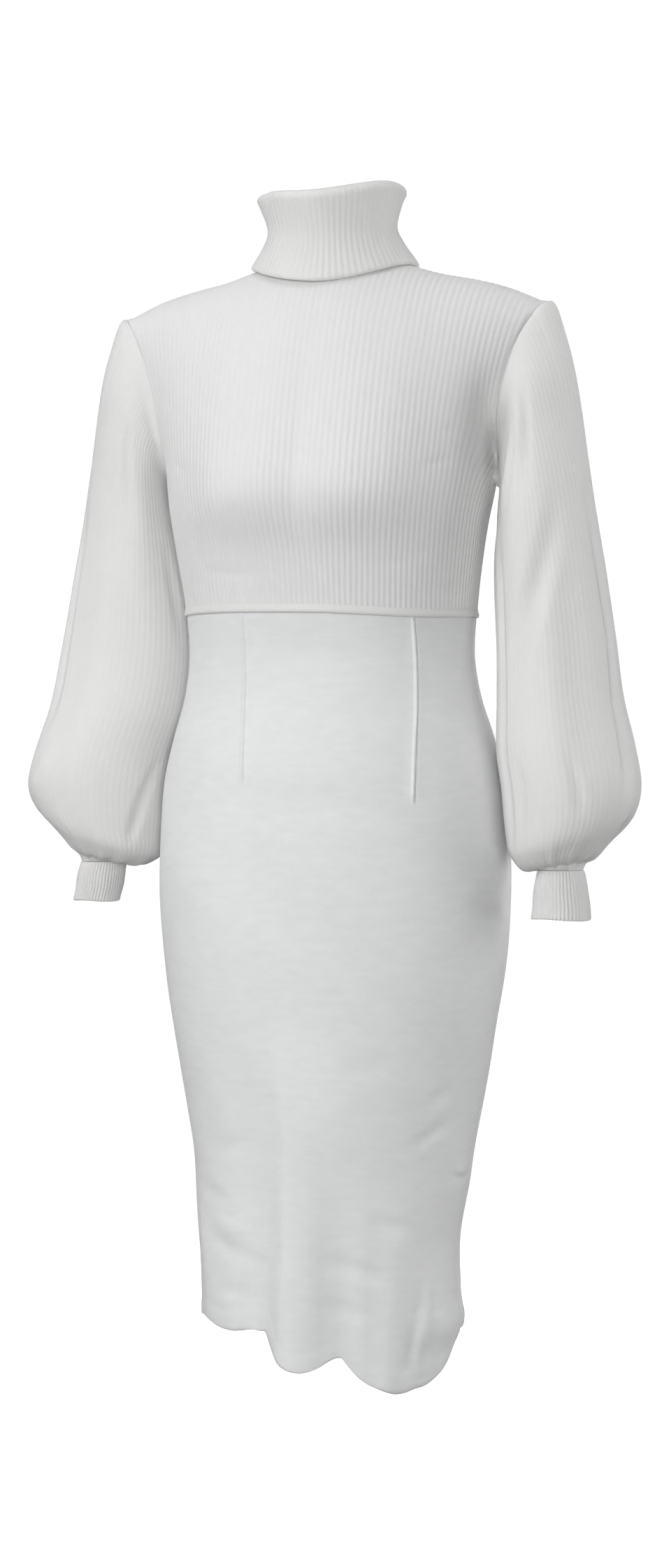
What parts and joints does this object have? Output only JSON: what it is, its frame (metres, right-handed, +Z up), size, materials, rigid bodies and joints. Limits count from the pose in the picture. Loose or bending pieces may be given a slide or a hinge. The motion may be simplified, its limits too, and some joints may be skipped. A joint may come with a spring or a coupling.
{
  "type": "sweater dress",
  "caption": "Knitted sweater dress with a folded turtleneck, ribbed bodice, long balloon sleeves with ribbed cuffs and a plain pencil skirt, shown as worn.",
  "frame": {"origin": "middle of the neck, in height where the shoulders start", "axes": "+X to the wearer's left, -Y to the front, +Z up"},
  "size_m": [0.5725, 0.2526, 1.0726],
  "materials": {
    "knit_bodice": "fine rib knit, matt",
    "knit_sleeve": "fine rib knit, matt",
    "knit_trim": "rib knit, matt",
    "knit_skirt": "plain knit, matt"
  },
  "bodies": {
    "root": {"bodice_front": "knit_bodice", "bodice_back": "knit_bodice", "sleeve_left": "knit_sleeve", "sleeve_right": "knit_sleeve", "cuff_left": "knit_trim", "cuff_right": "knit_trim", "collar": "knit_trim", "waist_welt": "knit_trim", "skirt_front": "knit_skirt", "skirt_back": "knit_skirt"}
  },
  "joints": []
}
